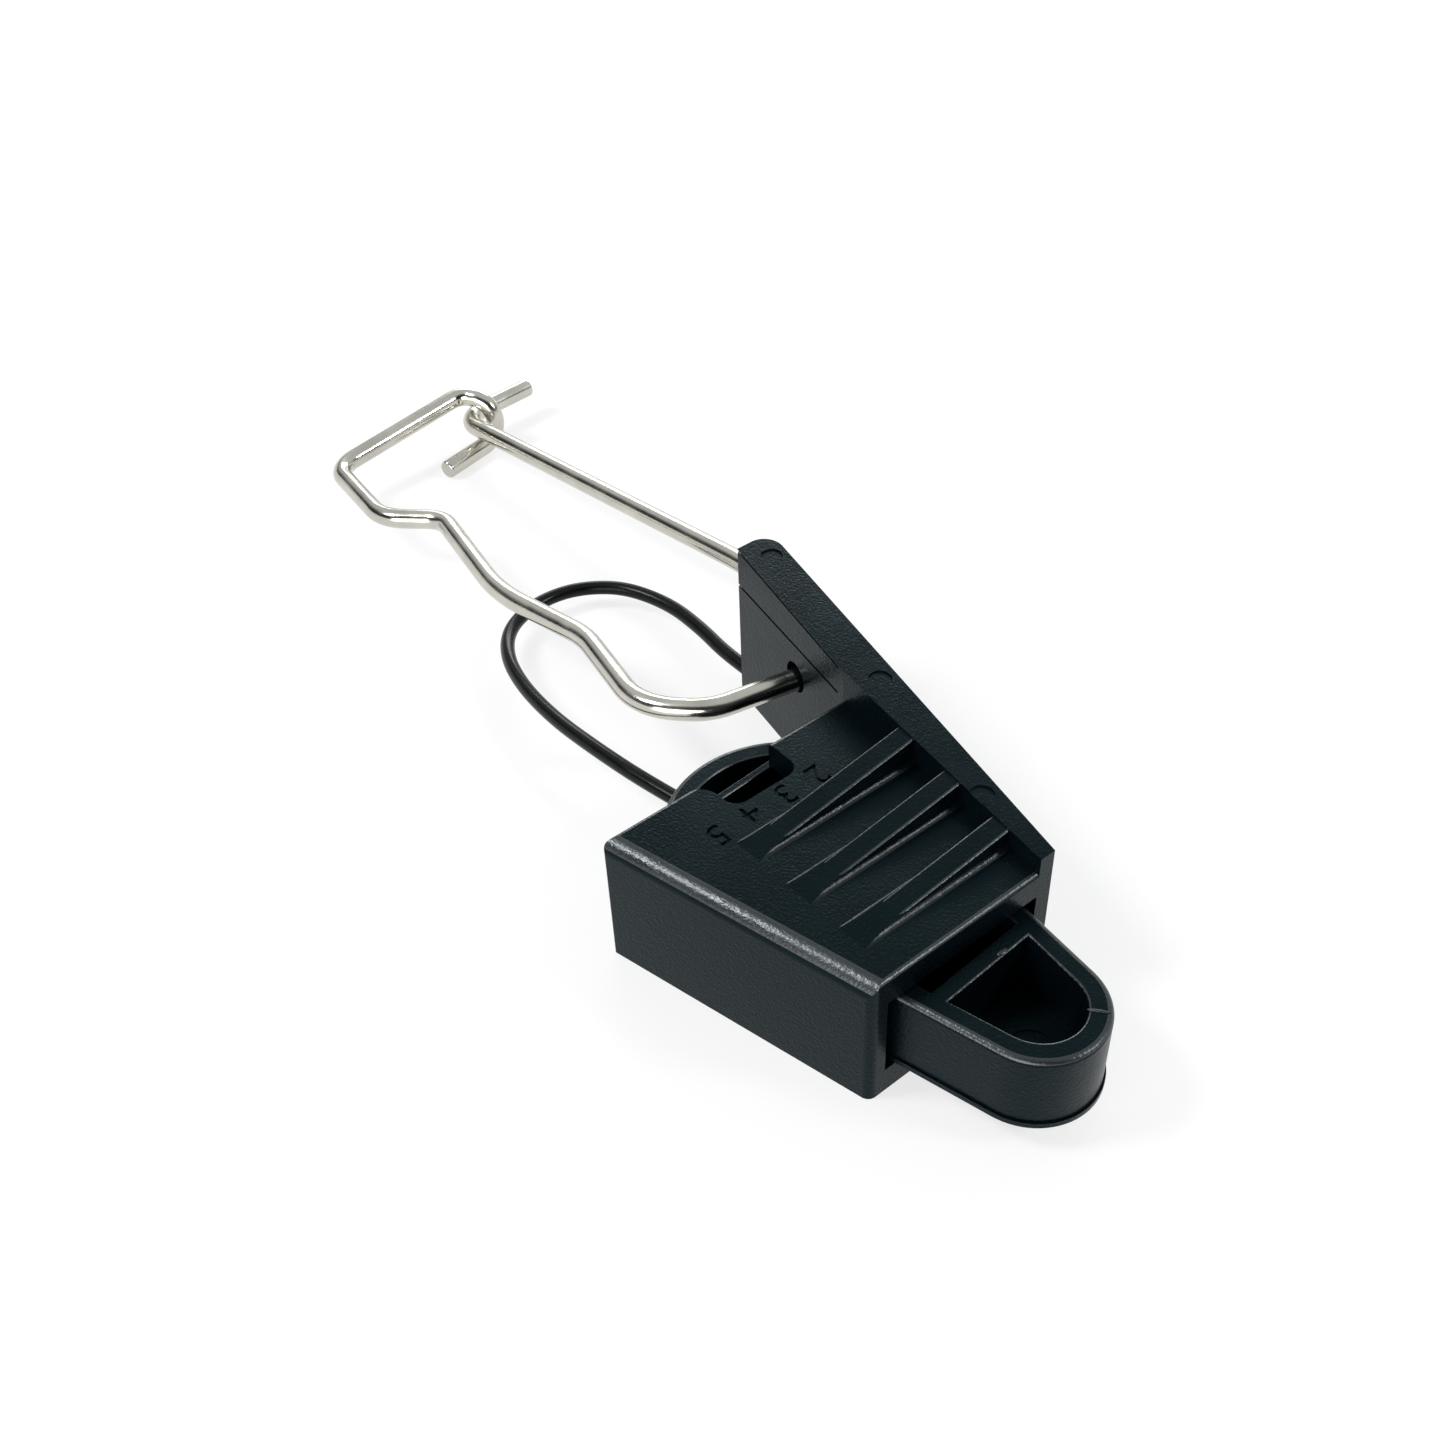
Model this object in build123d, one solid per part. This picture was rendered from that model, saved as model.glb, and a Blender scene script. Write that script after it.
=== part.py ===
"""Drop cable clamp: a tapered housing, a sliding wedge, a wire bail and the wedge's tether.

Millimetres. The housing's base lies on z = 0, +X runs along the housing to the end where the
cable leaves, +Y runs to the spine that carries the bail, and the origin is the base's centre.
"""
import os
from math import asin, atan2, cos, degrees, radians, sin, tan

from build123d import *

# Housing: two plates, a front wall and a spine round a tapered channel
housing_length = 29.5
housing_height = 15.3
plate_thickness = 3.0
exit_width = 22.3
front_offset = 9.7
front_angle = 12.6
front_wall = 1.8
front_edge_round = 1.6
exit_corner_round = 1.0
wide_corner_round = 0.3
plate_edge_round = 0.5

# Spine: thin where the cable leaves, thick at the lug that takes the bail
spine_angle = 12.0
spine_exit_thickness = 1.8
spine_exit_rise = 1.8
spine_rise_angle = 3.6
lug_thickness = 4.6
lug_reach = 21.9
lug_corner_round = 2.2

# Gusset ribs on the top plate, counted from the exit end
rib_count = 3
rib_pitch = 6.95
rib_width = 2.4
first_rib = 5.5
rib_toe = 2.7
rib_edge_round = 0.25
rib_foot_round = 0.5
foot_hollow = 0.36

# Notch in the top plate over the wedge's pocket
notch_depth = 4.8
notch_start = 12.1
notch_width = 8.4
notch_round = 1.6
notch_mouth_round = 2.4

# Ejector marks in the spine's top and in the wedge's tab
mark_depth = 0.15
spine_mark_radius = 1.2
spine_mark_inset = 1.9
spine_mark_stations = (8.9, 26.4, 48.1)
tab_mark_radius = 2.2

# Wedge: a drop-shaped tray that slides between the plates
wedge_clearance = 0.3
cable_gap = 0.95
tab_gap = 1.35
wedge_setback = 22.6
wedge_centres = 30.8
wedge_rim = 2.2
wedge_floor = 2.2
wedge_edge_round = 0.6
tab_wall = 1.7
tab_wall_station = 23.7
cross_rib = 0.9
cross_rib_station = -7.6
lip_height = 0.6
lip_proud = 0.2

# Bail: one stainless wire through the lug, its two ends hooked into each other
wire_diameter = 2.5
wire_end_round = 0.35
hole_clearance = 0.55
wire_sag = 0.35
hole_setback = 13.3
hole_height = 11.3
bail_reach = 82.4
bail_side = 12.0
bail_end_height = 5.2
hook_gap = 0.4
floor_gap = 0.05
inner_run = 10.3
inner_bend = 6.5
outer_run = 4.6
outer_bend = 3.0
leg_side = 11.0
hook_side = 12.2
hook_setback = 4.6
hook_end_side = 2.1
hook_end_setback = 7.1
crossbar_side = 9.8
crossbar_bend = 2.5
loop_side = 8.65
loop_setback = 1.4
loop_bend = 4.2
loop_end_side = 20.9
loop_end_setback = 0.2

# Corners of the wavy leg: shares of the bail's reach, of its side and of its reach as a bend
wavy_corners = (
    (0.968, 0.996, 0.0485),
    (0.772, 1.183, 0.0789),
    (0.697, 0.733, 0.0485),
    (0.461, 1.100, 0.3034),
    (0.279, 0.942, 0.1456),
    (0.0995, 1.242, 0.1032),
)
leg_corner = (0.267, 0.4854)

# Tether: a cord from a socket in the wedge's wide end to the lug's end face
tether_diameter = 1.7
socket_depth = 1.4
socket_clearance = 0.15
socket_bearing = 190.6
socket_height = 6.7
tether_lead = 6.2
lug_lead = 4.0
lug_anchor_height = 3.0
lug_anchor_inset = 0.9
run_share = 0.45

# Places that follow from the sizes above
exit_x = housing_length / 2
wide_x = -exit_x
lug_end_x = wide_x - lug_reach
plate_top = housing_height
channel_floor = plate_thickness
channel_roof = housing_height - plate_thickness
wedge_low = channel_floor + wedge_clearance
wedge_high = channel_roof - wedge_clearance
spine_exit_y = exit_width - front_offset
spine_normal = Vector(sin(radians(spine_angle)), cos(radians(spine_angle)), 0)
wire_radius = wire_diameter / 2
tether_radius = tether_diameter / 2
overrun = 5.0


def front_y(x, inset=0.0):
    """Front wall's outer face at x, moved inwards by inset."""
    slope = tan(radians(front_angle))
    return -front_offset - (exit_x - x) * slope + inset / cos(radians(front_angle))


def spine_outer_y(x):
    """Spine's outer face at x."""
    return spine_exit_y + (exit_x - x) * tan(radians(spine_angle))


def lug_inner_y(x):
    """Lug's inner face at x, parallel to its outer face."""
    return spine_outer_y(x) - lug_thickness / cos(radians(spine_angle))


def spine_inner_y(x):
    """Spine's inner face at x, along the channel."""
    exit_y = spine_exit_y - spine_exit_thickness
    return exit_y + (exit_x - x) / housing_length * (lug_inner_y(wide_x) - exit_y)


def spine_top(x):
    """Height of the spine's sloping top at x."""
    return plate_top + spine_exit_rise + (exit_x - x) * tan(radians(spine_rise_angle))


spine_inner_angle = degrees(atan2(spine_inner_y(wide_x) - spine_inner_y(exit_x), housing_length))


def outline(points):
    """Flat face inside a closed run of straight sides."""
    return make_face(Polyline(*points, close=True))


def slab(points, low, high):
    """Upright prism over a plan outline."""
    return Pos(0, 0, low) * extrude(outline(points), high - low)


def upright_edge(solid, x, y):
    """The vertical edge of a solid that stands nearest to a plan point."""
    return solid.edges().filter_by(Axis.Z).sort_by_distance((x, y, plate_top / 2))[0]


def rounded(face, spots, radius):
    """A flat face with the corners nearest to the given spots rounded."""
    corners = [face.vertices().sort_by_distance(spot)[0] for spot in spots]
    return fillet(corners, radius)


def make_box():
    """Plates and front wall round the tapered channel, with the notch over the wedge."""
    front_corners = [(exit_x, front_y(exit_x)), (wide_x, front_y(wide_x))]
    back_corners = [
        (wide_x, spine_inner_y(wide_x) + spine_exit_thickness / 2),
        (exit_x, spine_inner_y(exit_x) + spine_exit_thickness / 2),
    ]
    plan = rounded(outline(front_corners + back_corners), front_corners[:1], exit_corner_round)
    plan = rounded(plan, front_corners[1:], wide_corner_round)
    top_ends = [(exit_x, plate_top), (wide_x, plate_top)]
    side = rounded(outline([(wide_x, 0), (exit_x, 0)] + top_ends), top_ends, plate_edge_round)
    section = outline([(0, 0), (2 * exit_width, 0), (2 * exit_width, plate_top), (0, plate_top)])
    section = rounded(section, [(0, plate_top)], front_edge_round)
    inward = Vector(-sin(radians(front_angle)), cos(radians(front_angle)), 0)
    along = Vector(cos(radians(front_angle)), sin(radians(front_angle)), 0)
    across = Plane(origin=(0, front_y(0), 0), x_dir=inward, z_dir=along)
    box = extrude(plan, plate_top)
    box = box & extrude(Plane.XZ * side, amount=2 * exit_width, both=True)
    box = box & extrude(across * section, amount=housing_length, both=True)
    channel = [
        (exit_x + overrun, front_y(exit_x + overrun, front_wall)),
        (exit_x + overrun, spine_inner_y(exit_x + overrun)),
        (wide_x - overrun, spine_inner_y(wide_x - overrun)),
        (wide_x - overrun, front_y(wide_x - overrun, front_wall)),
    ]
    return box - slab(channel, channel_floor, channel_roof) - make_notch()


def make_notch():
    """Cut through the top plate's wide end, round inside and flared at its near mouth corner."""
    near = front_y(wide_x) + notch_start
    far = near + notch_width
    deep = wide_x + notch_depth
    cut = slab(
        [(wide_x - overrun, near), (deep, near), (deep, far), (wide_x - overrun, far)],
        channel_roof - plate_thickness / 2,
        plate_top + overrun,
    )
    cut = fillet(cut.edges().filter_by(Axis.Z).group_by(Axis.X)[-1], notch_round)
    mouth_x, mouth_y = wide_x + notch_mouth_round, near - notch_mouth_round
    flare = slab(
        [(wide_x - overrun, mouth_y), (mouth_x, mouth_y), (mouth_x, near), (wide_x - overrun, near)],
        channel_roof - plate_thickness / 2,
        plate_top + overrun,
    )
    rounding = Pos(mouth_x, mouth_y, channel_roof)
    flare -= rounding * Cylinder(notch_mouth_round, 2 * housing_height)
    return cut + flare


def make_spine():
    """Tapered bar along the back, full height, with a sloping top and a round lug corner."""
    plan = [
        (exit_x, spine_exit_y),
        (lug_end_x, spine_outer_y(lug_end_x)),
        (lug_end_x, lug_inner_y(lug_end_x)),
        (wide_x, lug_inner_y(wide_x)),
        (exit_x, spine_inner_y(exit_x)),
    ]
    bar = slab(plan, 0, spine_top(lug_end_x) + overrun)
    bar = fillet(upright_edge(bar, lug_end_x, spine_outer_y(lug_end_x)), lug_corner_round)
    first_x = exit_x + overrun
    last_x = lug_end_x - overrun
    side = outline([(first_x, 0), (first_x, spine_top(first_x)), (last_x, spine_top(last_x)), (last_x, 0)])
    blade = extrude(Plane.XZ * side, amount=2 * exit_width, both=True)
    bar = bar & blade
    for station in spine_mark_stations:
        bar -= make_spine_mark(exit_x - station)
    return bar - make_hole()


def make_spine_mark(x):
    """Shallow round ejector mark in the sloping top."""
    rise = radians(spine_rise_angle)
    centre = (x, spine_outer_y(x) - spine_mark_inset, spine_top(x))
    tilted = Plane(origin=centre, z_dir=(sin(rise), 0, cos(rise)))
    return tilted * Cylinder(spine_mark_radius, 2 * mark_depth)


def hole_outer():
    """Centre of the bail hole on the lug's outer face."""
    x = lug_end_x + hole_setback
    return Vector(x, spine_outer_y(x), hole_height)


def make_hole():
    """Drill for the bail, square to the lug's faces."""
    start = hole_outer() + spine_normal * overrun
    drill = Plane(origin=start, z_dir=spine_normal * -1) * Circle(wire_radius + hole_clearance)
    return extrude(drill, lug_thickness + 2 * overrun)


def make_rib(station):
    """Gusset that rises from the top plate to the spine's top, rounded above and flared at its foot."""
    x = exit_x - station
    half = rib_width / 2
    toe = -front_offset + rib_toe
    back = spine_inner_y(x + half) + spine_exit_thickness / 2
    sink = plate_top - plate_thickness / 2
    slope = outline([(toe, plate_top), (back, spine_top(x + half)), (back, sink), (toe, sink)])
    slope = Plane(origin=(x, 0, 0), x_dir=(0, 1, 0), z_dir=(1, 0, 0)) * slope
    core = extrude(slope, amount=half, both=True)
    ridges = core.edges().filter_by(Axis.X, reverse=True).group_by(SortBy.LENGTH)[-1]
    core = fillet(ridges, rib_edge_round)
    foot = extrude(Plane(origin=(x, toe, 0), x_dir=(1, 0, 0), z_dir=(0, 1, 0)) * rib_foot(sink), back - toe)
    return core + (foot & extrude(slope, amount=half + overrun, both=True))


def rib_foot(sink):
    """Section of a rib's foot, seen along the rib, with a hollow flare on each side."""
    half = rib_width / 2
    reach = half + rib_foot_round
    hollow = half + rib_foot_round * foot_hollow
    top = plate_top + rib_foot_round
    middle = plate_top + rib_foot_round * foot_hollow
    sides = [
        Polyline((half, -top), (-half, -top)),
        ThreePointArc((-half, -top), (-hollow, -middle), (-reach, -plate_top)),
        Polyline((-reach, -plate_top), (-reach, -sink), (reach, -sink), (reach, -plate_top)),
        ThreePointArc((reach, -plate_top), (hollow, -middle), (half, -top)),
    ]
    return make_face(sides)


def make_housing():
    """Box, spine and ribs as one moulding."""
    moulding = make_box() + make_spine()
    for index in range(rib_count):
        moulding += make_rib(first_rib + index * rib_pitch)
    return moulding


def channel_half(x):
    """Middle of the channel at x, and its distance from the channel's two side walls."""
    front_cos = cos(radians(front_angle))
    spine_cos = cos(radians(spine_inner_angle))
    near, far = front_y(x, front_wall), spine_inner_y(x)
    middle = (near * front_cos + far * spine_cos) / (front_cos + spine_cos)
    return middle, (middle - near) * front_cos


def drop_shape(inset, low, high):
    """Prism of the wedge's plan, moved inwards by inset, from its big centre along +X."""
    big = wedge_big_radius - inset
    small = wedge_small_radius - inset
    lean = asin((big - small) / wedge_centres)
    big_x, big_y = big * sin(lean), big * cos(lean)
    small_x, small_y = wedge_centres + small * sin(lean), small * cos(lean)
    sides = [
        Line((big_x, big_y), (small_x, small_y)),
        ThreePointArc((small_x, small_y), (wedge_centres + small, 0), (small_x, -small_y)),
        Line((small_x, -small_y), (big_x, -big_y)),
        ThreePointArc((big_x, -big_y), (-big, 0), (big_x, big_y)),
    ]
    return Pos(0, 0, low) * extrude(make_face(sides), high - low)


def cross_wall(start, thickness):
    """Wall across the wedge's tray, from a station along its axis."""
    middle = (wedge_low + wedge_high) / 2
    return Pos(start + thickness / 2, 0, middle) * Box(
        thickness, 2 * wedge_big_radius, wedge_high - wedge_low
    )


wedge_x = exit_x - wedge_setback
wedge_heading = (front_angle - spine_inner_angle) / 2
wedge_y, wedge_room = channel_half(wedge_x)
wedge_big_radius = wedge_room - cable_gap
tab_x = wedge_x + wedge_centres * cos(radians(wedge_heading))
wedge_small_radius = channel_half(tab_x)[1] - tab_gap


def make_wedge():
    """Drop-shaped tray with a tab pocket, two cross walls, a bottom lip and the tether's socket."""
    block = drop_shape(0, wedge_low, wedge_high)
    block = fillet(block.faces().sort_by(Axis.Z)[-1].edges(), wedge_edge_round)
    block += drop_shape(-lip_proud, wedge_low, wedge_low + lip_height)
    tray = drop_shape(wedge_rim, wedge_low + wedge_floor, wedge_high + overrun)
    tray -= cross_wall(tab_wall_station, tab_wall)
    tray -= cross_wall(cross_rib_station, cross_rib)
    block -= tray
    mark = Pos(wedge_centres, 0, wedge_low + wedge_floor) * Cylinder(tab_mark_radius, 2 * mark_depth)
    placed = Pos(wedge_x, wedge_y, 0) * Rot(0, 0, wedge_heading) * (block - mark)
    mouth = socket_point(wedge_big_radius + overrun)
    bore = Plane(origin=mouth, z_dir=socket_dir() * -1) * Circle(tether_radius + socket_clearance)
    return placed - extrude(bore, overrun + socket_depth)


def socket_dir():
    """Direction in which the tether leaves the wedge."""
    return Vector(cos(radians(socket_bearing)), sin(radians(socket_bearing)), 0)


def socket_point(radius):
    """Point on the socket's axis at a distance from the wedge's big centre."""
    return Vector(wedge_x, wedge_y, socket_height) + socket_dir() * radius


def round_wire(path, radius):
    """Round bar along a path of runs and tangent arcs."""
    section = Plane(origin=path @ 0, z_dir=path % 0) * Circle(radius)
    return sweep(section, path)


def bail_route():
    """Corners of the bail's centre line, each with its bend radius, from hook end to hook end."""
    outer = hole_outer() - Vector(0, 0, wire_sag)
    inner = outer - spine_normal * lug_thickness
    low = wire_radius + floor_gap
    middle = low + wire_diameter + hook_gap
    high = middle + wire_diameter + hook_gap
    hook_round = (high - low) / 2 - floor_gap

    def spot(back, across, height=None):
        lie = inner.Z + (bail_end_height - inner.Z) * back / bail_reach
        return Vector(inner.X - back, inner.Y + across, lie if height is None else height)

    bent_hook = [
        (spot(bail_reach - hook_end_setback, hook_end_side, low), 0),
        (spot(bail_reach - hook_setback, hook_side, low), hook_round),
        (spot(bail_reach - hook_setback, hook_side, high), hook_round),
        (spot(bail_reach, crossbar_side, high), crossbar_bend),
    ]
    wavy_leg = [
        (spot(back * bail_reach, -side * bail_side), bend * bail_reach) for back, side, bend in wavy_corners
    ]
    wavy_leg.append((inner - spine_normal * inner_run, inner_bend))
    straight_leg = [
        (outer + spine_normal * outer_run, outer_bend),
        (spot(leg_corner[0] * bail_reach, leg_side), leg_corner[1] * bail_reach),
        (spot(bail_reach - loop_setback, loop_side, middle), loop_bend),
        (spot(bail_reach - loop_end_setback, loop_end_side, middle), 0),
    ]
    return bent_hook + wavy_leg + straight_leg


def make_bail():
    """Stainless wire bail that hangs a little low in the lug's hole."""
    corners = bail_route()
    points = [corner for corner, bend in corners]
    bends = [bend for corner, bend in corners][1:-1]
    path = FilletPolyline(*points, radius=bends)
    wire = round_wire(path, wire_radius)
    rings = wire.edges().filter_by(GeomType.CIRCLE)
    ends = [rings.sort_by_distance(path @ end)[0] for end in (0, 1)]
    return fillet(ends, wire_end_round)


def tether_route():
    """Points of the tether from the wedge's socket round its loop to the lug's end face."""
    anchor = Vector(lug_end_x, lug_inner_y(lug_end_x) + lug_anchor_inset, lug_anchor_height)
    return [
        socket_point(wedge_big_radius - socket_depth),
        socket_point(wedge_big_radius + tether_lead),
        Vector(-34.6, -3.4, 5.9),
        Vector(-42.6, -3.25, 4.9),
        Vector(-50.6, -2.1, 3.9),
        Vector(-57.2, 0.0, 3.2),
        Vector(-61.9, 3.4, 2.7),
        Vector(-64.0, 8.0, 2.6),
        Vector(-63.9, 12.8, 2.6),
        Vector(-61.9, 16.6, 2.6),
        Vector(-58.6, 19.3, 2.7),
        Vector(-52.5, 20.95, 2.8),
        Vector(-46.0, 20.6, 2.9),
        anchor - Vector(lug_lead, 0, 0),
        anchor,
    ]


def route_radii(points):
    """Largest bends that the runs on either side of each corner leave room for."""
    radii = []
    for before, corner, after in zip(points, points[1:], points[2:]):
        run_in, run_out = corner - before, after - corner
        half_turn = radians(run_in.get_angle(run_out)) / 2
        radii.append(run_share * min(run_in.length, run_out.length) / tan(half_turn))
    return radii


def make_tether():
    """Plain tube along the tether's route."""
    points = tether_route()
    radii = route_radii(points)
    path = FilletPolyline(*points, radius=radii)
    tube = round_wire(path, tether_radius)
    print("tether bend radii", [round(radius, 1) for radius in radii])
    volume_length = tube.volume / Circle(tether_radius).area
    print("tether length", round(path.length, 2), "and by volume", round(volume_length, 2))
    return tube


if __name__ == "__main__":
    os.makedirs("parts", exist_ok=True)
    makers = {"housing": make_housing, "wedge": make_wedge, "bail": make_bail, "tether": make_tether}
    for name, make in makers.items():
        export_step(make(), f"parts/{name}.step")
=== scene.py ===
"""Looks of a drop cable clamp: glossy black mouldings, a drawn wire bail, a thin tether, a white sweep.

Metres, in the frame of the packed model: the housing lies on z = 0, +X runs to the end where the cable
leaves and +Y to the spine that carries the bail. Names that end in _MM hold millimetres.
"""

from math import cos, pi, radians, sin

import bmesh
import bpy
from bpy.props import FloatProperty, FloatVectorProperty, IntProperty, PointerProperty, StringProperty
from mathutils import Matrix, Vector
from mathutils.bvhtree import BVHTree
from mathutils.geometry import barycentric_transform


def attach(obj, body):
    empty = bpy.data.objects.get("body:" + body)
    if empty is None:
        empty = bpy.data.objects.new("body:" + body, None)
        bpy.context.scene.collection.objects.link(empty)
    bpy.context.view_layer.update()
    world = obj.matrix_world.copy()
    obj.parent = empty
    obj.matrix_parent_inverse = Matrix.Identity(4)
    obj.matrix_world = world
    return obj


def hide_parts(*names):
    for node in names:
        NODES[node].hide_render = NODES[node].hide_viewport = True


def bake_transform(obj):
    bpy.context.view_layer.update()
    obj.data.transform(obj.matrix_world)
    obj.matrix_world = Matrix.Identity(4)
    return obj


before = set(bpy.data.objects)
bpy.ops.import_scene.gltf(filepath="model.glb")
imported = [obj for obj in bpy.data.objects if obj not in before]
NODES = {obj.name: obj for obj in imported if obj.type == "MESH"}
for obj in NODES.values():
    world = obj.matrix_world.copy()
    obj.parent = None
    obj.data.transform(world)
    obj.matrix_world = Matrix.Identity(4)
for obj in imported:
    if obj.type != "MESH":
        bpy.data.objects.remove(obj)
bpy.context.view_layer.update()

bl_info = {
    "name": "Drop cable clamp",
    "version": (1, 0, 0),
    "blender": (4, 5, 0),
    "location": "3D View > Sidebar > Clamp",
    "description": "Finishes, tether, engraved numbers and studio sweep for a wedge clamp",
    "category": "Object",
}

MM = 0.001

# Corners of a mesh that lie closer than this are one corner
MERGE = 0.001 * MM

# Tether: control points from the wedge's socket round the loop to the lug's end face
TETHER_ROUTE_MM = (
    (-18.26, -1.59, 6.7),
    (-25.73, -2.99, 6.7),
    (-34.6, -3.4, 5.9),
    (-42.6, -3.25, 4.9),
    (-50.6, -2.1, 3.9),
    (-57.2, 0.0, 3.2),
    (-61.9, 3.4, 2.7),
    (-64.0, 8.0, 2.6),
    (-63.9, 12.8, 2.6),
    (-61.9, 16.6, 2.6),
    (-58.6, 19.3, 2.7),
    (-52.5, 20.95, 2.8),
    (-46.0, 20.6, 2.9),
    (-40.65, 19.72, 3.0),
    (-36.65, 19.72, 3.0),
)

# Housing: height of the top plate, middle of the numbers, inner corner of the lug, turn of its inner face
PLATE_TOP_MM = 15.3
NUMBERS_MM = (-8.35, -1.4)
LUG_CORNER_MM = (-36.65, 18.82)
LUG_TURN = radians(-12)

# Mould lines on the lug's inner face: name, height at the lug's end, fall towards the exit
LUG_LINES = (
    ("parting_line", 15.5, 0),
    ("rim_line", 20.1, radians(3.52)),
)
LUG_LINE_MM = 21.8
LUG_OVERRUN_MM = 0.4

# Wedge: radius of its broken rim, centre of the tab, weld line across the tab's wall, fleck of flash
RIM_MM = 0.2
TAB_CENTRE_MM = (22.91, 1.99)
WELD_TURN = radians(38)
WELD_REACH_MM = 5.15
WELD_RADII_MM = (1.05, 0.16, 0.14)
FLECK_MM = (17.02, 3.86)
FLECK_RADII_MM = (0.34, 0.6, 0.18)

# Polished edges: facets that look up more than this, in directions that hold less area than this in all
EDGE_RISE = 0.45
EDGE_AREA = 20 * MM * MM
# The ribs' feet reach this far above the plate and are polished less
FOOT_MM = 0.5
FOOT_POLISH = 0.35

# Soft boxes: name, azimuth and elevation in degrees, distance, width and height, power in watts
SOFT_BOXES = (
    ("left_box", 234, 50, 1.4, (0.32, 0.32), 10.0),
    ("right_box", 36, 36, 1.4, (0.25, 0.25), 5.8),
    ("front_box", 292, 16, 1.1, (1.0, 0.58), 9.9),
    ("back_box", 138, 23, 1.2, (0.7, 0.3), 4.2),
)

# Sky: colour, middle of its lit cap, cosines between which the cap fades, share of light outside it
SKY_COLOUR = (0.96, 0.99, 1.0, 1)
SKY_MIDDLE = (-0.25, 0.42, 0.87)
SKY_FADE = (0.42, 0.75)
SKY_REST = 0.02

# Sweep: radius of the flat floor, radius of the bend, wall above it, gap below the clamp, share of plain
# white in the paper
SWEEP_FLAT = 1.4
SWEEP_BEND = 0.2
SWEEP_WALL = 0.17
SWEEP_GAP = 0.02 * MM
PAPER_WHITE = 0.72


class ClampPlastic(bpy.types.PropertyGroup):
    """Finish of the two mouldings."""

    colour: FloatVectorProperty(
        name="Colour", description="Body colour of the mouldings",
        subtype="COLOR", size=3, min=0, max=1, default=(0.001, 0.0028, 0.0042),
    )
    roughness: FloatProperty(
        name="Roughness", description="Satin gloss of the moulded skin", min=0, max=1, default=0.28,
    )
    specular: FloatProperty(
        name="Specular", description="Strength of the skin's mirror part", min=0, max=1, default=0.12,
    )
    edge_specular: FloatProperty(
        name="Edge specular", description="Strength of the mirror part on polished edges",
        min=0, max=1, default=0.8,
    )
    cast: FloatVectorProperty(
        name="Cast", description="Tint of the skin's mirror part",
        subtype="COLOR", size=3, min=0, max=1, default=(0.38, 0.9, 1),
    )
    edge_cast: FloatVectorProperty(
        name="Edge cast", description="Tint of the mirror part on polished edges",
        subtype="COLOR", size=3, min=0, max=1, default=(0.9, 0.97, 1),
    )
    edge_wear: FloatProperty(
        name="Edge wear", description="Roughness that handling adds on the edges",
        min=0, max=1, default=0.05,
    )
    grain: FloatProperty(
        name="Grain", description="Height of the spark-eroded grain", unit="LENGTH",
        min=0, max=0.0005, default=0.000045,
    )
    grain_size: FloatProperty(
        name="Grain size", description="Width of one grain", unit="LENGTH",
        min=0.00001, max=0.01, default=0.0003,
    )


class ClampWire(bpy.types.PropertyGroup):
    """Finish of the stainless bail."""

    colour: FloatVectorProperty(
        name="Colour", description="Reflection colour of the drawn steel",
        subtype="COLOR", size=3, min=0, max=1, default=(0.56, 0.545, 0.49),
    )
    roughness: FloatProperty(
        name="Roughness", description="Gloss of the drawn steel", min=0, max=1, default=0.18,
    )


class ClampTether(bpy.types.PropertyGroup):
    """Size and finish of the tether."""

    diameter: FloatProperty(
        name="Diameter", description="Thickness of the cord", unit="LENGTH",
        min=0.0005, max=0.005, default=0.0017,
    )
    length: FloatProperty(
        name="Length", description="Length of the cord from socket to lug", unit="LENGTH",
        min=0.03, max=0.5, default=0.0857,
    )
    sides: IntProperty(
        name="Sides", description="Facets round the cord", min=8, max=64, default=24,
    )
    colour: FloatVectorProperty(
        name="Colour", description="Colour of the cord",
        subtype="COLOR", size=3, min=0, max=1, default=(0.0030, 0.0040, 0.0045),
    )
    roughness: FloatProperty(
        name="Roughness", description="Gloss of the cord", min=0, max=1, default=0.24,
    )
    specular: FloatProperty(
        name="Specular", description="Strength of the cord's mirror part", min=0, max=1, default=0.16,
    )


class ClampMark(bpy.types.PropertyGroup):
    """Engraved numbers and mould lines."""

    numbers: StringProperty(
        name="Numbers", description="Plain numbers engraved in the top plate", default="2 3 4 5",
    )
    height: FloatProperty(
        name="Height", description="Height of the numbers", unit="LENGTH",
        min=0.001, max=0.01, default=0.0027,
    )
    depth: FloatProperty(
        name="Depth", description="Depth of the engraving", unit="LENGTH",
        min=0.00005, max=0.001, default=0.00025,
    )
    line: FloatProperty(
        name="Line", description="Width of the mould lines on the lug", unit="LENGTH",
        min=0.00005, max=0.001, default=0.0003,
    )


class ClampStage(bpy.types.PropertyGroup):
    """Camera, lamps and sweep."""

    azimuth: FloatProperty(
        name="Azimuth", description="Turn of the camera about the vertical", subtype="ANGLE",
        default=radians(52.04),
    )
    elevation: FloatProperty(
        name="Elevation", description="Tilt of the camera below the horizon", subtype="ANGLE",
        default=radians(41.0),
    )
    roll: FloatProperty(
        name="Roll", description="Turn of the camera about its own axis", subtype="ANGLE",
        default=radians(-2.605),
    )
    place: FloatVectorProperty(
        name="Place", description="Where the camera stands", subtype="TRANSLATION", unit="LENGTH",
        size=3, default=(0.07715, -0.0731, 0.1226),
    )
    lens: FloatProperty(
        name="Lens", description="Focal length in millimetres on a 36 mm sensor", min=1, default=40.73,
    )
    backdrop: FloatVectorProperty(
        name="Backdrop", description="Colour of the floor and sweep",
        subtype="COLOR", size=3, min=0, max=1, default=(0.9, 0.9, 0.9),
    )
    sky: FloatProperty(
        name="Sky", description="Level of the even light from above", min=0, default=0.74,
    )


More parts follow.
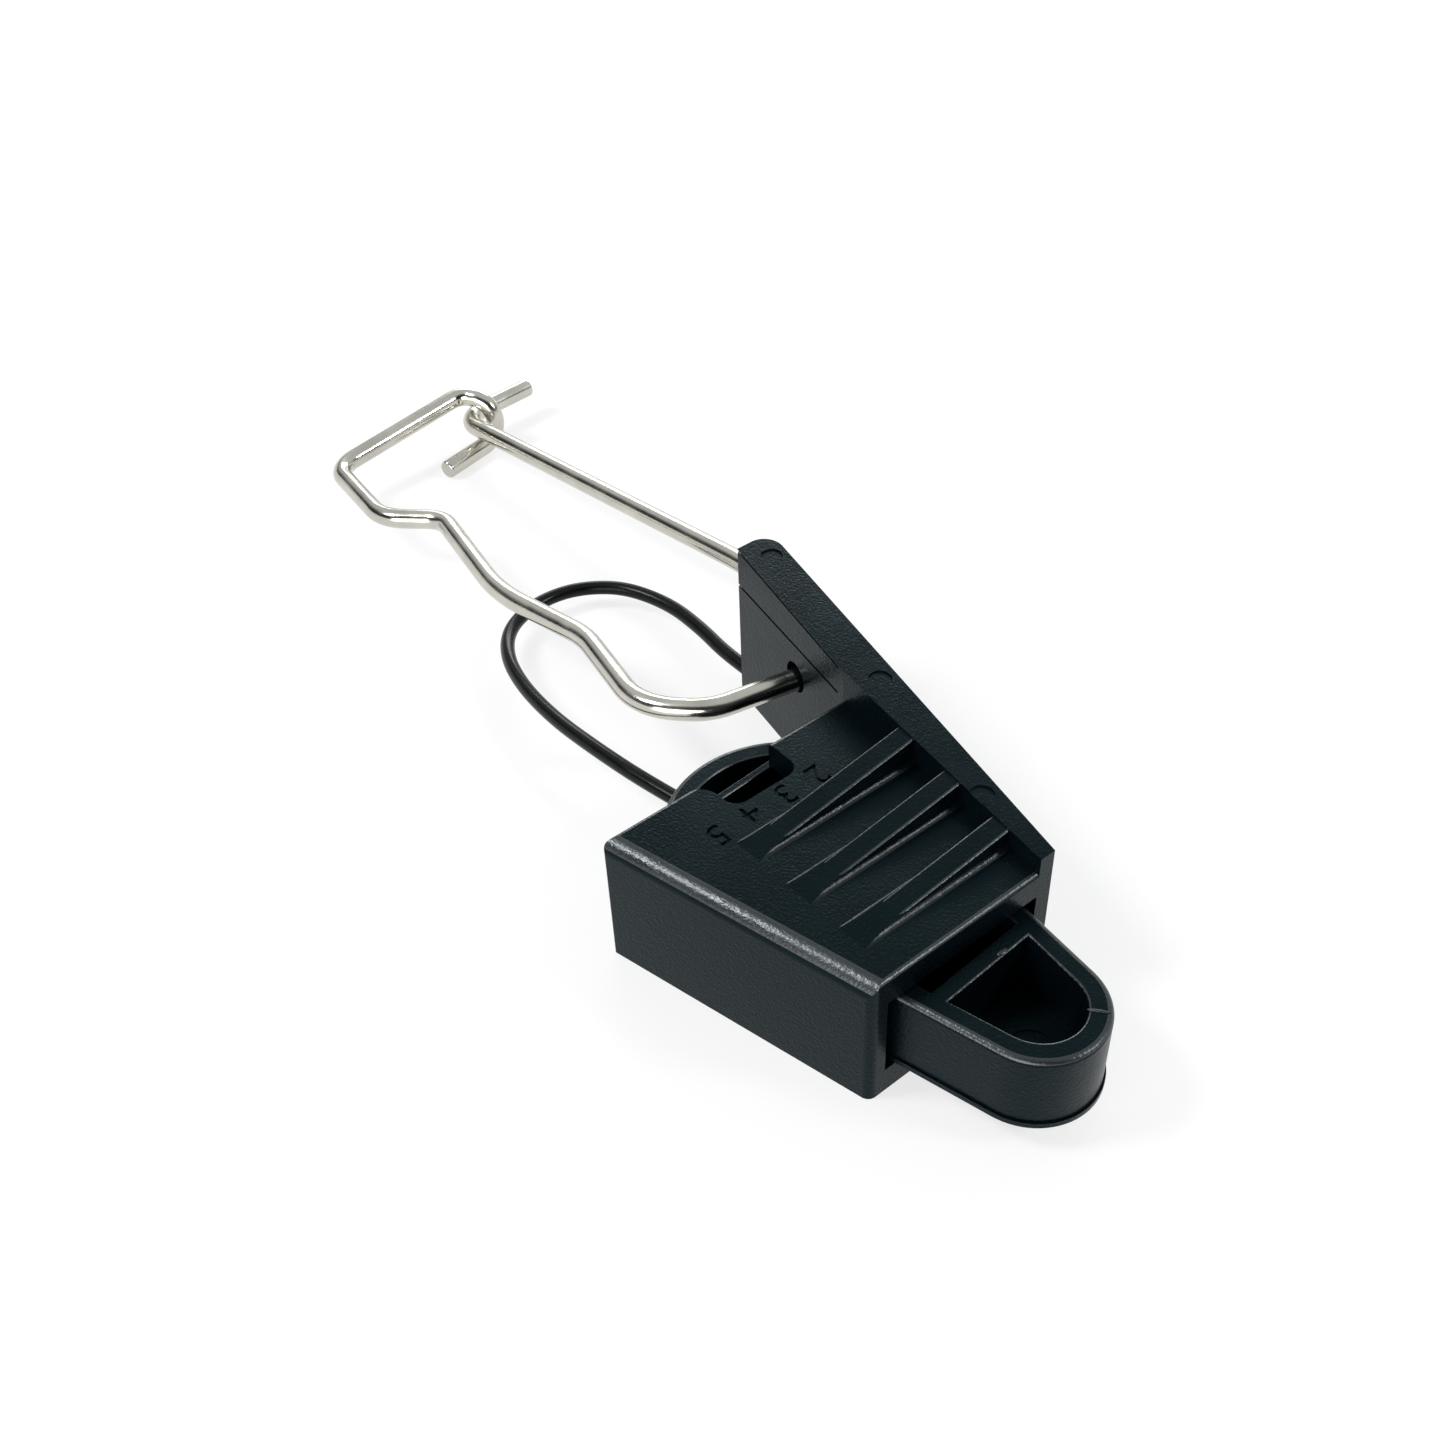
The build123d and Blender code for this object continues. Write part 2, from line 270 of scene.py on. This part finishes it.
def new_material(name):
    """A node material with one Principled shader, and the object coordinates for its patterns."""
    material = bpy.data.materials.new(name)
    material.use_nodes = True
    tree = material.node_tree
    coords = tree.nodes.new("ShaderNodeTexCoord").outputs["Object"]
    return material, tree, tree.nodes["Principled BSDF"], coords


def noise(tree, coords, size, detail, label):
    """Noise whose cells are about size wide."""
    node = tree.nodes.new("ShaderNodeTexNoise")
    node.label = label
    node.inputs["Scale"].default_value = 1 / size
    node.inputs["Detail"].default_value = detail
    tree.links.new(coords, node.inputs["Vector"])
    return node.outputs["Fac"]


def remap(tree, value, start, end, low, high):
    """A value that runs from low to high while another runs from start to end."""
    node = tree.nodes.new("ShaderNodeMapRange")
    for name, limit in (("From Min", start), ("From Max", end), ("To Min", low), ("To Max", high)):
        node.inputs[name].default_value = limit
    tree.links.new(value, node.inputs["Value"])
    return node.outputs["Result"]


def spread(tree, value, low, high):
    """The middle range of a noise, stretched to run from low to high."""
    return remap(tree, value, 0.3, 0.7, low, high)


def at_edges(tree, edge, elsewhere, there):
    """A value that changes on the marked edges."""
    return remap(tree, edge, 0, 1, elsewhere, there)


def tinted(tree, factor, first, second):
    """Colour that goes from one shade to another with a factor."""
    node = tree.nodes.new("ShaderNodeMix")
    node.data_type = "RGBA"
    node.inputs["A"].default_value = (*first, 1)
    node.inputs["B"].default_value = (*second, 1)
    tree.links.new(factor, node.inputs["Factor"])
    return node.outputs["Result"]


def shade(colour, share):
    """A colour made lighter or darker by a share."""
    return tuple(min(1, channel * share) for channel in colour)


def bump(tree, shader, height, distance, strength):
    """Bends a shader's normal by a height."""
    node = tree.nodes.new("ShaderNodeBump")
    node.inputs["Distance"].default_value = distance
    node.inputs["Strength"].default_value = strength
    tree.links.new(height, node.inputs["Height"])
    tree.links.new(node.outputs["Normal"], shader.inputs["Normal"])


def drift(tree, shader, finish, clouds, dark, light, duller):
    """Lets a finish's colour and gloss drift with a noise; returns the gloss."""
    colour = finish.colour
    tint = tinted(tree, spread(tree, clouds, 0, 1), shade(colour, dark), shade(colour, light))
    gloss = spread(tree, clouds, finish.roughness - 0.03, finish.roughness + duller)
    tree.links.new(tint, shader.inputs["Base Color"])
    tree.links.new(gloss, shader.inputs["Roughness"])
    return gloss


def plastic_material(name):
    """Black moulding: fine grain, faint flow clouds, slightly uneven gloss and polished edges."""
    finish = bpy.context.scene.clamp_plastic
    material, tree, shader, coords = new_material(name)
    clouds = noise(tree, coords, size=6 * MM, detail=3, label="flow clouds")
    grain = noise(tree, coords, size=finish.grain_size, detail=2, label="mould grain")
    gloss = drift(tree, shader, finish, clouds, dark=0.86, light=1.14, duller=0.04)
    bump(tree, shader, grain, distance=finish.grain, strength=1)
    mark = tree.nodes.new("ShaderNodeAttribute")
    mark.attribute_name = "edge"
    edge = mark.outputs["Fac"]
    shine = at_edges(tree, edge, finish.specular, finish.edge_specular)
    tree.links.new(shine, shader.inputs["Specular IOR Level"])
    worn = tree.nodes.new("ShaderNodeMath")
    worn.operation = "ADD"
    tree.links.new(gloss, worn.inputs[0])
    tree.links.new(at_edges(tree, edge, 0, finish.edge_wear), worn.inputs[1])
    tree.links.new(worn.outputs["Value"], shader.inputs["Roughness"])
    # The mix stops at 1, so the less polished feet of the ribs take the edges' tint in full too
    cast = tinted(tree, at_edges(tree, edge, 0, 3), finish.cast, finish.edge_cast)
    tree.links.new(cast, shader.inputs["Specular Tint"])
    return material


def wire_material():
    """Drawn stainless steel: slightly warm, with soft smears and fine scratches."""
    finish = bpy.context.scene.clamp_wire
    material, tree, shader, coords = new_material("stainless_wire")
    smears = noise(tree, coords, size=4 * MM, detail=3, label="smears")
    scratches = noise(tree, coords, size=0.3 * MM, detail=2, label="scratches")
    drift(tree, shader, finish, smears, dark=0.9, light=1.08, duller=0.05)
    bump(tree, shader, scratches, distance=0.004 * MM, strength=0.04)
    shader.inputs["Metallic"].default_value = 1
    return material


def tether_material():
    """Glossy extruded cord with a faint ripple."""
    finish = bpy.context.scene.clamp_tether
    material, tree, shader, coords = new_material("tether_cord")
    ripple = noise(tree, coords, size=2.5 * MM, detail=2, label="ripple")
    drift(tree, shader, finish, ripple, dark=0.85, light=1.2, duller=0.05)
    bump(tree, shader, ripple, distance=0.03 * MM, strength=0.2)
    shader.inputs["Specular IOR Level"].default_value = finish.specular
    return material


def link_object(name, data):
    """A new object in the scene's own collection."""
    made = bpy.data.objects.new(name, data)
    bpy.context.scene.collection.objects.link(made)
    return made


def shown_mesh(made):
    """Mesh of an object as it shows, with its modifiers applied."""
    bpy.context.view_layer.update()
    depsgraph = bpy.context.evaluated_depsgraph_get()
    return bpy.data.meshes.new_from_object(made.evaluated_get(depsgraph), depsgraph=depsgraph)


def make_plain(made):
    """Turns an object and its modifiers into a plain mesh."""
    mesh = shown_mesh(made)
    made.modifiers.clear()
    made.data = mesh


def mesh_from(work, name):
    """A new mesh with what a bmesh holds."""
    mesh = bpy.data.meshes.new(name)
    work.to_mesh(mesh)
    work.free()
    return mesh


def merged_copy(node):
    """Copy of a packed node's mesh with its triangles joined."""
    work = bmesh.new()
    work.from_mesh(NODES[node].data)
    bmesh.ops.remove_doubles(work, verts=work.verts, dist=MERGE)
    return mesh_from(work, node)


def at_height(place_mm, height):
    """A place on the plan, in millimetres, lifted to a height in metres."""
    x, y = place_mm
    return Vector((x * MM, y * MM, height))


def keep_shading(mesh, source):
    """Takes the corner normals of the packed mesh over to a cut copy of it; fresh faces are flat."""
    near = 0.002 * MM
    alike = 0.999
    corners = [vertex.co for vertex in source.vertices]
    triangles = [tuple(face.vertices) for face in source.polygons]
    nearest = BVHTree.FromPolygons(corners, triangles)
    normals = [Vector()] * len(mesh.loops)
    for face in mesh.polygons:
        spot, normal, index, gap = nearest.find_nearest(face.center)
        kept = gap < near and normal.dot(face.normal) > alike
        for loop in face.loop_indices:
            normals[loop] = face.normal.copy()
            if kept:
                old = source.polygons[index]
                place = mesh.vertices[mesh.loops[loop].vertex_index].co
                ends = [corners[corner] for corner in old.vertices]
                turned = [source.corner_normals[corner].vector for corner in old.loop_indices]
                normals[loop] = barycentric_transform(place, *ends, *turned).normalized()
    mesh.shade_smooth()
    mesh.normals_split_custom_set(normals)


def mark_edges(mesh):
    """Marks the narrow facets of rounded edges that face upwards."""
    areas = {}
    keys = []
    for face in mesh.polygons:
        key = tuple(round(part, 2) for part in face.normal)
        keys.append(key)
        areas[key] = areas.get(key, 0) + face.area
    edge = mesh.attributes.new("edge", "FLOAT", "FACE")
    for face, key in zip(mesh.polygons, keys):
        polished = areas[key] < EDGE_AREA and face.normal.z > EDGE_RISE
        at_foot = 0 < face.center.z - PLATE_TOP_MM * MM < FOOT_MM * MM
        edge.data[face.index].value = polished * (FOOT_POLISH if at_foot else 1)


def number_cutter(mark):
    """Plain numbers as a solid, tops towards the exit, sunk into the top plate."""
    digit_share = 0.7
    font = bpy.data.curves.new("numbers", "FONT")
    font.body = mark.numbers
    font.size = mark.height / digit_share
    font.space_character = 1.3
    font.extrude = mark.depth
    font.align_x = "CENTER"
    font.align_y = "CENTER"
    font.resolution_u = 4
    words = link_object("number_cutter", font)
    mesh = shown_mesh(words)
    bpy.data.objects.remove(words)
    middle = at_height(NUMBERS_MM, PLATE_TOP_MM * MM)
    mesh.transform(Matrix.Translation(middle) @ Matrix.Rotation(-pi / 2, 4, "Z"))
    work = bmesh.new()
    work.from_mesh(mesh)
    bmesh.ops.remove_doubles(work, verts=work.verts, dist=MERGE)
    bmesh.ops.recalc_face_normals(work, faces=work.faces)
    work.to_mesh(mesh)
    work.free()
    return link_object("number_cutter", mesh)


def placed(work, name, size, middle, turn):
    """A unit shape, scaled, turned and put in its place."""
    bmesh.ops.scale(work, vec=size, verts=work.verts)
    mesh = mesh_from(work, name)
    mesh.transform(Matrix.Translation(middle) @ turn)
    return link_object(name, mesh)


def bar(name, size, middle, turn):
    """A small box to cut a mould line with."""
    work = bmesh.new()
    bmesh.ops.create_cube(work, size=1)
    return placed(work, name, size, middle, turn)


def pip(name, radii_mm, middle, turn):
    """A small rounded rise of flash."""
    work = bmesh.new()
    bmesh.ops.create_icosphere(work, subdivisions=3, radius=1)
    return placed(work, name, Vector(radii_mm) * MM, middle, turn)


def soften_rim(mesh, height):
    """Breaks the sharp upper edges of a moulding at one height."""
    work = bmesh.new()
    work.from_mesh(mesh)
    bmesh.ops.dissolve_limit(work, angle_limit=radians(0.3), verts=work.verts, edges=work.edges)
    rim = []
    for edge in work.edges:
        level = all(abs(vertex.co.z - height) < 0.01 * MM for vertex in edge.verts)
        if level and edge.is_convex and edge.calc_face_angle(0) > radians(60):
            rim.append(edge)
    bmesh.ops.bevel(
        work, geom=rim, offset=RIM_MM * MM, segments=3, profile=0.5, affect="EDGES", clamp_overlap=True,
    )
    work.to_mesh(mesh)
    work.free()


def dress_moulding(node, slot, mesh, shapes):
    """Shows a mesh in a packed moulding's place, with its fine marks cut in or added."""
    made = link_object(node + "_moulding", mesh)
    mesh.materials.clear()
    mesh.materials.append(plastic_material(slot))
    for shape, operation in shapes:
        change = made.modifiers.new(shape.name, "BOOLEAN")
        change.object = shape
        change.operation = operation
        change.solver = "MANIFOLD"
    make_plain(made)
    for shape, operation in shapes:
        bpy.data.objects.remove(shape)
    keep_shading(made.data, NODES[node].data)
    mark_edges(made.data)
    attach(made, node)
    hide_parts(node)


class CLAMP_OT_housing(bpy.types.Operator):
    """Dress the housing, engrave its numbers and cut the lug's mould lines"""

    bl_idname = "clamp.housing"
    bl_label = "Housing"

    def execute(self, context):
        mark = context.scene.clamp_mark
        # Half of each bar stands clear of the lug's face, so a line is twice as deep as it is wide
        size = Vector((LUG_LINE_MM * MM, 4 * mark.line, mark.line))
        along = Vector((size.x / 2 - LUG_OVERRUN_MM * MM, 0, 0))
        shapes = [(number_cutter(mark), "DIFFERENCE")]
        for name, height_mm, fall in LUG_LINES:
            turn = Matrix.Rotation(LUG_TURN, 4, "Z") @ Matrix.Rotation(fall, 4, "Y")
            middle = at_height(LUG_CORNER_MM, height_mm * MM) + turn @ along
            shapes.append((bar(name, size, middle, turn), "DIFFERENCE"))
        dress_moulding("housing", "housing_plastic", merged_copy("housing"), shapes)
        return {"FINISHED"}


class CLAMP_OT_wedge(bpy.types.Operator):
    """Dress the wedge, break its pocket's edges and add its weld line and fleck"""

    bl_idname = "clamp.wedge"
    bl_label = "Wedge"

    def execute(self, context):
        mesh = merged_copy("wedge")
        top = max(vertex.co.z for vertex in mesh.vertices)
        soften_rim(mesh, top)
        turn = Matrix.Rotation(WELD_TURN, 4, "Z")
        middle = at_height(TAB_CENTRE_MM, top) + turn @ Vector((WELD_REACH_MM * MM, 0, 0))
        weld = pip("weld_line", WELD_RADII_MM, middle, turn)
        fleck = pip("flash_fleck", FLECK_RADII_MM, at_height(FLECK_MM, top), Matrix())
        dress_moulding("wedge", "wedge_plastic", mesh, [(weld, "UNION"), (fleck, "UNION")])
        return {"FINISHED"}


class CLAMP_OT_bail(bpy.types.Operator):
    """Dress the wire bail and shade it smooth"""

    bl_idname = "clamp.bail"
    bl_label = "Bail"

    def execute(self, context):
        wire = link_object("bail_wire", merged_copy("bail"))
        wire.data.materials.clear()
        wire.data.materials.append(wire_material())
        wire.data.shade_smooth()
        wire.data.set_sharp_from_angle(angle=radians(50))
        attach(wire, "bail")
        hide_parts("bail")
        return {"FINISHED"}


def route_curve():
    """The tether's control points as one smooth open spline."""
    curve = bpy.data.curves.new("tether_route", "CURVE")
    curve.dimensions = "3D"
    curve.resolution_u = 24
    spline = curve.splines.new("NURBS")
    spline.points.add(len(TETHER_ROUTE_MM) - 1)
    for point, place in zip(spline.points, TETHER_ROUTE_MM):
        point.co = (*(Vector(place) * MM), 1)
    spline.order_u = 3
    spline.use_endpoint_u = True
    return link_object("tether_route", curve)


def tube_tree(material):
    """Geometry nodes that turn a line of edges into a closed round tube."""
    tree = bpy.data.node_groups.new("tether_tube", "GeometryNodeTree")
    tree.interface.new_socket("Geometry", in_out="INPUT", socket_type="NodeSocketGeometry")
    radius = tree.interface.new_socket("Radius", in_out="INPUT", socket_type="NodeSocketFloat")
    sides = tree.interface.new_socket("Sides", in_out="INPUT", socket_type="NodeSocketInt")
    tree.interface.new_socket("Geometry", in_out="OUTPUT", socket_type="NodeSocketGeometry")
    given = tree.nodes.new("NodeGroupInput")
    result = tree.nodes.new("NodeGroupOutput")
    line = tree.nodes.new("GeometryNodeMeshToCurve")
    ring = tree.nodes.new("GeometryNodeCurvePrimitiveCircle")
    tube = tree.nodes.new("GeometryNodeCurveToMesh")
    tube.inputs["Fill Caps"].default_value = True
    smooth = tree.nodes.new("GeometryNodeSetShadeSmooth")
    realize = tree.nodes.new("GeometryNodeRealizeInstances")
    finish = tree.nodes.new("GeometryNodeSetMaterial")
    finish.inputs["Material"].default_value = material
    links = tree.links
    links.new(given.outputs["Geometry"], line.inputs["Mesh"])
    links.new(given.outputs["Radius"], ring.inputs["Radius"])
    links.new(given.outputs["Sides"], ring.inputs["Resolution"])
    links.new(line.outputs["Curve"], tube.inputs["Curve"])
    links.new(ring.outputs["Curve"], tube.inputs["Profile Curve"])
    links.new(tube.outputs["Mesh"], smooth.inputs["Geometry"])
    links.new(smooth.outputs["Geometry"], realize.inputs["Geometry"])
    links.new(realize.outputs["Geometry"], finish.inputs["Geometry"])
    links.new(finish.outputs["Geometry"], result.inputs["Geometry"])
    return tree, radius.identifier, sides.identifier


class CLAMP_OT_tether(bpy.types.Operator):
    """Run the tether from the wedge's socket to the lug"""

    bl_idname = "clamp.tether"
    bl_label = "Tether"

    def execute(self, context):
        cord = context.scene.clamp_tether
        route = route_curve()
        line = shown_mesh(route)
        bpy.data.objects.remove(route)
        tether = link_object("tether_cord", line)
        tree, radius, sides = tube_tree(tether_material())
        tube = tether.modifiers.new("tube", "NODES")
        tube.node_group = tree
        tube[radius] = cord.diameter / 2
        tube[sides] = cord.sides
        make_plain(tether)
        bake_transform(tether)
        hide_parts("tether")
        return {"FINISHED"}


def sweep_mesh():
    """Round floor whose rim curves up into a low wall, as a shallow bowl."""
    hub, steps, turns = 0.1 * MM, 12, 96
    profile = [(hub, 0.0), (SWEEP_FLAT, 0.0)]
    for step in range(1, steps + 1):
        angle = pi / 2 * step / steps
        profile.append((SWEEP_FLAT + SWEEP_BEND * sin(angle), SWEEP_BEND * (1 - cos(angle))))
    profile.append((SWEEP_FLAT + SWEEP_BEND, SWEEP_BEND + SWEEP_WALL))
    work = bmesh.new()
    line = [work.verts.new((radius, 0, height - SWEEP_GAP)) for radius, height in profile]
    edges = [work.edges.new(pair) for pair in zip(line, line[1:])]
    bmesh.ops.spin(
        work, geom=line + edges, cent=(0, 0, 0), axis=(0, 0, 1), angle=2 * pi, steps=turns,
        use_merge=True,
    )
    bmesh.ops.remove_doubles(work, verts=work.verts, dist=hub / 2)
    bmesh.ops.recalc_face_normals(work, faces=work.faces)
    mesh = mesh_from(work, "studio_sweep")
    mesh.shade_smooth()
    return mesh


def sweep_material(colour):
    """Matt white paper that shows as white, with a soft trace of the shadow."""
    material = bpy.data.materials.new("studio_paper")
    material.use_nodes = True
    tree = material.node_tree
    tree.nodes.clear()
    paper = tree.nodes.new("ShaderNodeBsdfDiffuse")
    paper.inputs["Color"].default_value = (*colour, 1)
    white = tree.nodes.new("ShaderNodeEmission")
    path = tree.nodes.new("ShaderNodeLightPath")
    seen = path.outputs["Is Camera Ray"]
    for ray in ("Is Glossy Ray", "Is Transmission Ray"):
        either = tree.nodes.new("ShaderNodeMath")
        either.operation = "MAXIMUM"
        tree.links.new(seen, either.inputs[0])
        tree.links.new(path.outputs[ray], either.inputs[1])
        seen = either.outputs["Value"]
    share = tree.nodes.new("ShaderNodeMath")
    share.operation = "MULTIPLY"
    share.inputs[1].default_value = PAPER_WHITE
    tree.links.new(seen, share.inputs[0])
    mix = tree.nodes.new("ShaderNodeMixShader")
    output = tree.nodes.new("ShaderNodeOutputMaterial")
    tree.links.new(share.outputs["Value"], mix.inputs["Fac"])
    tree.links.new(paper.outputs["BSDF"], mix.inputs[1])
    tree.links.new(white.outputs["Emission"], mix.inputs[2])
    tree.links.new(mix.outputs["Shader"], output.inputs["Surface"])
    return material


def soft_box(name, azimuth, elevation, reach, size, power):
    """Rectangular lamp that faces the clamp from a direction, as seen from the clamp."""
    lamp = bpy.data.lights.new(name, "AREA")
    lamp.shape = "RECTANGLE"
    lamp.size, lamp.size_y = size
    lamp.energy = power
    made = link_object(name, lamp)
    around, up = radians(azimuth), radians(elevation)
    towards = Vector((cos(around) * cos(up), sin(around) * cos(up), sin(up)))
    made.location = towards * reach
    made.rotation_mode = "QUATERNION"
    made.rotation_quaternion = towards.to_track_quat("Z", "Y")


class CLAMP_OT_stage(bpy.types.Operator):
    """Set the camera, the lamps and the white sweep"""

    bl_idname = "clamp.stage"
    bl_label = "Stage"

    def execute(self, context):
        stage = context.scene.clamp_stage
        floor = link_object("studio_sweep", sweep_mesh())
        floor.data.materials.append(sweep_material(stage.backdrop))
        for box in SOFT_BOXES:
            soft_box(*box)
        world = bpy.data.worlds.new("even_light")
        world.use_nodes = True
        self.shade_sky(world.node_tree, stage.sky)
        context.scene.world = world
        self.add_camera(context, stage)
        context.scene.view_settings.view_transform = "Standard"
        return {"FINISHED"}

    def shade_sky(self, tree, level):
        """Lights a soft cap of the sky and leaves the rest dark, which gives the wire its streak."""
        sky = tree.nodes["Background"]
        sky.inputs["Color"].default_value = SKY_COLOUR
        ways = tree.nodes.new("ShaderNodeTexCoord")
        facing = tree.nodes.new("ShaderNodeVectorMath")
        facing.operation = "DOT_PRODUCT"
        facing.inputs[1].default_value = SKY_MIDDLE
        tree.links.new(ways.outputs["Generated"], facing.inputs[0])
        cap = remap(tree, facing.outputs["Value"], *SKY_FADE, SKY_REST * level, level)
        cap.node.interpolation_type = "SMOOTHSTEP"
        tree.links.new(cap, sky.inputs["Strength"])

    def add_camera(self, context, stage):
        """Places the camera by its turn, tilt and roll."""
        around, down = stage.azimuth, stage.elevation
        forward = Vector((-sin(around) * cos(down), cos(around) * cos(down), -sin(down)))
        level = Vector((cos(around), sin(around), 0))
        upright = level.cross(forward)
        right = level * cos(stage.roll) + upright * sin(stage.roll)
        top = right.cross(forward)
        turn = Matrix((right, top, -forward)).transposed()
        lens = bpy.data.cameras.new("camera")
        lens.sensor_width = 36
        lens.lens = stage.lens
        lens.clip_start = 5 * MM
        camera = link_object("camera", lens)
        camera.matrix_world = Matrix.Translation(Vector(stage.place)) @ turn.to_4x4()
        context.scene.camera = camera


class CLAMP_PT_sidebar(bpy.types.Panel):
    """Lists the clamp's sizes, finishes and steps"""

    bl_idname = "CLAMP_PT_sidebar"
    bl_label = "Drop cable clamp"
    bl_space_type = "VIEW_3D"
    bl_region_type = "UI"
    bl_category = "Clamp"

    def draw(self, context):
        for group, settings in SETTINGS.items():
            box = self.layout.box()
            box.label(text=settings.__doc__)
            for name in settings.__annotations__:
                box.prop(getattr(context.scene, group), name)
        for operator in OPERATORS:
            self.layout.operator(operator.bl_idname)


SETTINGS = {
    "clamp_plastic": ClampPlastic,
    "clamp_wire": ClampWire,
    "clamp_tether": ClampTether,
    "clamp_mark": ClampMark,
    "clamp_stage": ClampStage,
}
OPERATORS = (CLAMP_OT_housing, CLAMP_OT_wedge, CLAMP_OT_bail, CLAMP_OT_tether, CLAMP_OT_stage)
CLASSES = (*SETTINGS.values(), *OPERATORS, CLAMP_PT_sidebar)


def register():
    """Adds the settings, the steps and the panel."""
    for item in CLASSES:
        bpy.utils.register_class(item)
    for group, settings in SETTINGS.items():
        setattr(bpy.types.Scene, group, PointerProperty(type=settings))


def unregister():
    """Takes the settings, the steps and the panel away again."""
    for group in SETTINGS:
        delattr(bpy.types.Scene, group)
    for item in reversed(CLASSES):
        bpy.utils.unregister_class(item)


def main():
    """Registers the tools, dresses the clamp and sets up the stage."""
    register()
    bpy.ops.clamp.housing()
    bpy.ops.clamp.wedge()
    bpy.ops.clamp.bail()
    bpy.ops.clamp.tether()
    bpy.ops.clamp.stage()


if __name__ == "__main__":
    main()
